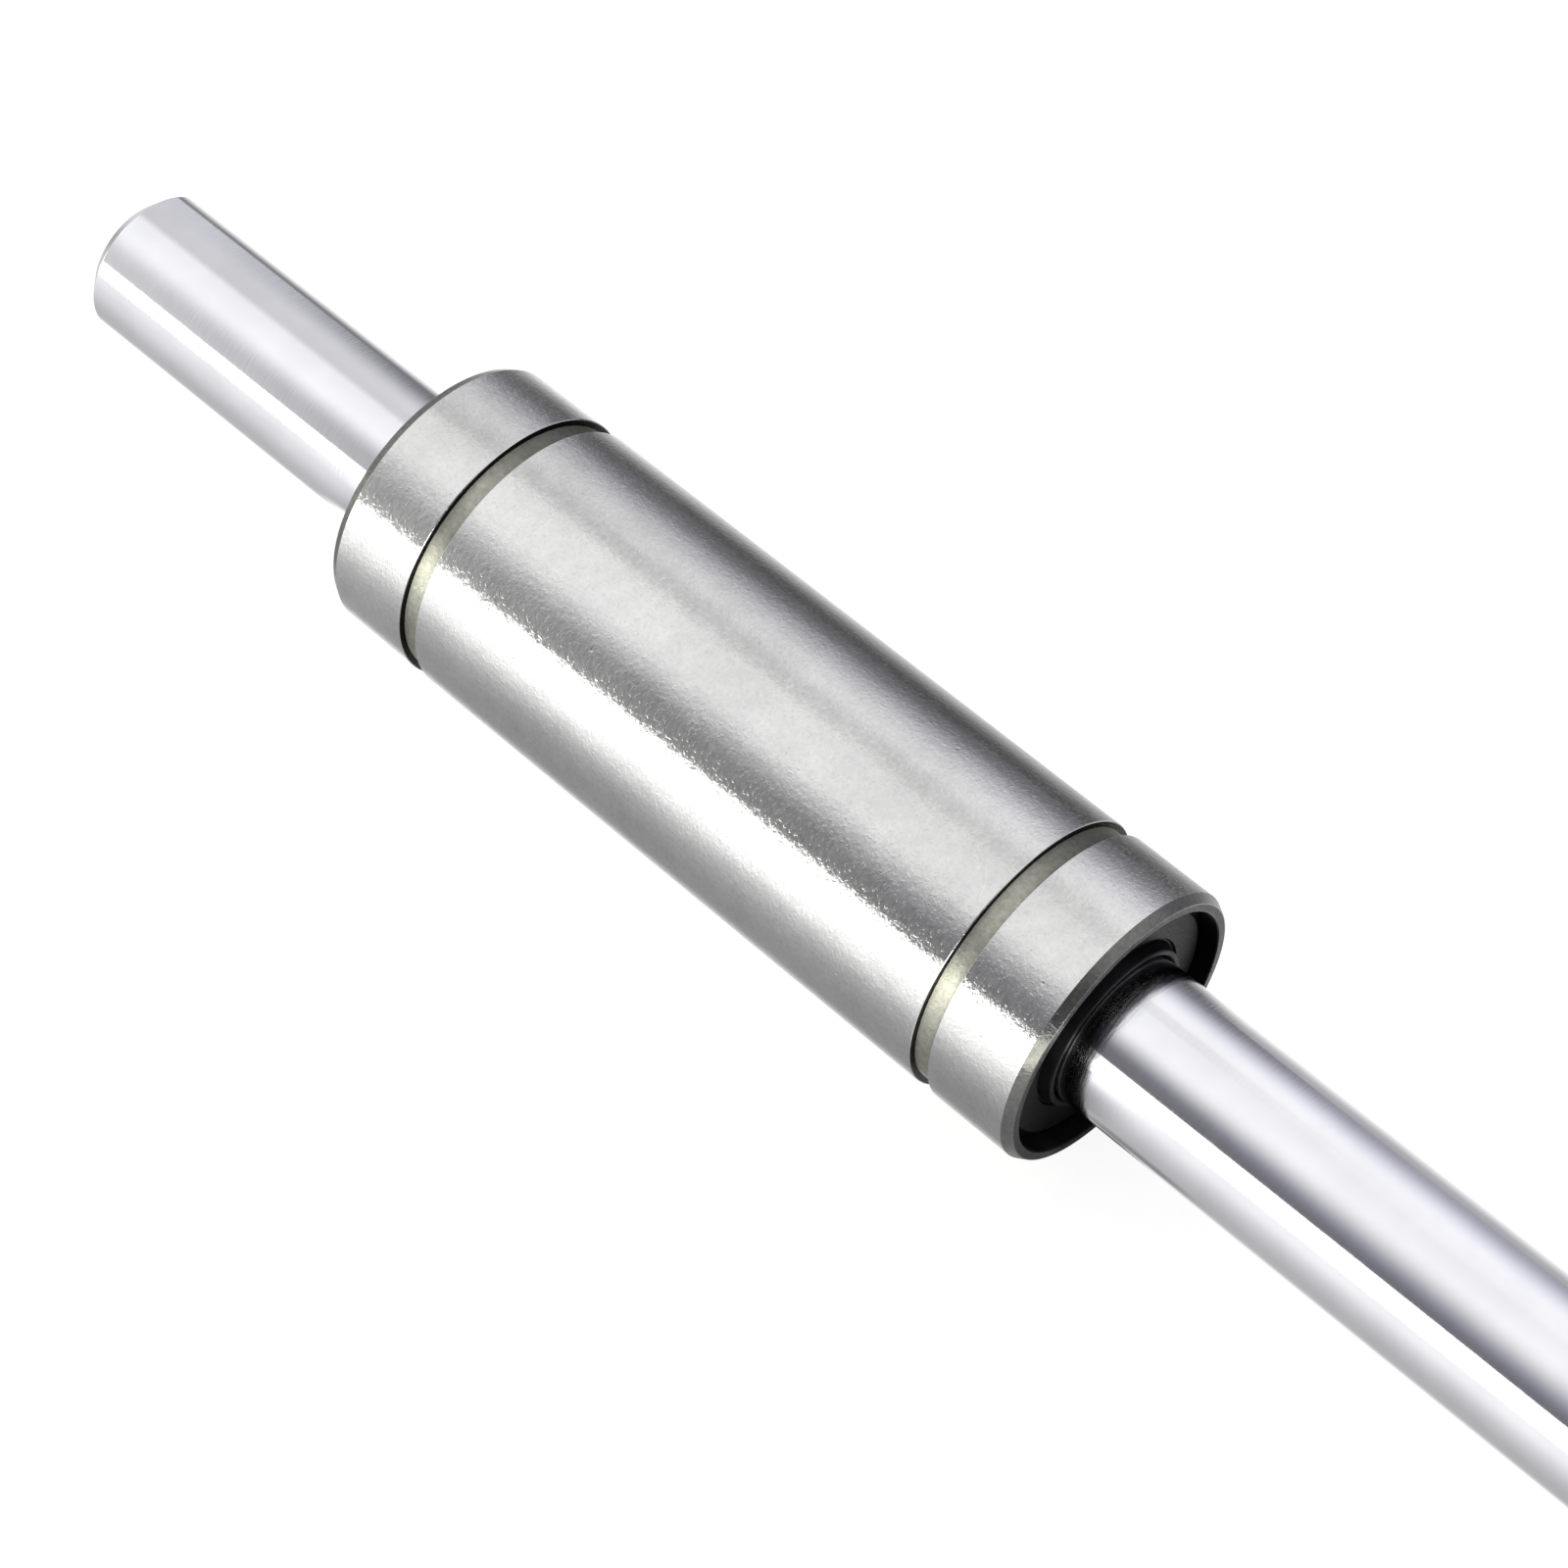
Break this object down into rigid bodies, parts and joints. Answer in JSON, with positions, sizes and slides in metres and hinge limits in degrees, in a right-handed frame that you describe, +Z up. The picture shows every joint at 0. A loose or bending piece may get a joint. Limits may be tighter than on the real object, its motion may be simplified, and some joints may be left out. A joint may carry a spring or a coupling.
{
  "type": "linear ball bearing",
  "caption": "Sealed double-length linear ball bearing that slides and turns on a plain round ground shaft.",
  "frame": {"origin": "the middle of the bearing, on the shaft's axis", "axes": "+X along the shaft towards the front end, the near one in the picture; +Z up; the shaft lies level"},
  "size_m": [0.11, 0.015, 0.015],
  "materials": {
    "ground_steel": "ground bearing steel with a fine mottled grain",
    "shaft_steel": "hardened, ground and polished steel",
    "ball_steel": "polished bearing steel",
    "pressed_steel": "pressed sheet steel, satin",
    "spring_steel": "dark spring steel",
    "cage_resin": "moulded natural resin",
    "seal_rubber": "moulded black rubber, satin"
  },
  "bodies": {
    "shaft": {"guide_shaft": "shaft_steel"},
    "spacer": {"center_spacer": "cage_resin"},
    "bearing": {"outer_sleeve": "ground_steel", "front_retainer": "cage_resin", "rear_retainer": "cage_resin", "front_balls_1": "ball_steel", "front_balls_2": "ball_steel", "front_balls_3": "ball_steel", "front_balls_4": "ball_steel", "rear_balls_1": "ball_steel", "rear_balls_2": "ball_steel", "rear_balls_3": "ball_steel", "rear_balls_4": "ball_steel", "front_end_ring": "pressed_steel", "rear_end_ring": "pressed_steel", "front_snap_ring": "spring_steel", "rear_snap_ring": "spring_steel", "front_seal": "seal_rubber", "rear_seal": "seal_rubber", "front_seal_core": "pressed_steel", "rear_seal_core": "pressed_steel"}
  },
  "joints": [
    {"name": "bearing_travel", "type": "slide", "parent": "shaft", "child": "spacer", "axis": [1, 0, 0], "range_m": [-0.021, 0.041]},
    {"name": "bearing_turn", "type": "hinge", "parent": "spacer", "child": "bearing", "pos_m": [0, 0, 0], "axis": [1, 0, 0], "continuous": true}
  ]
}
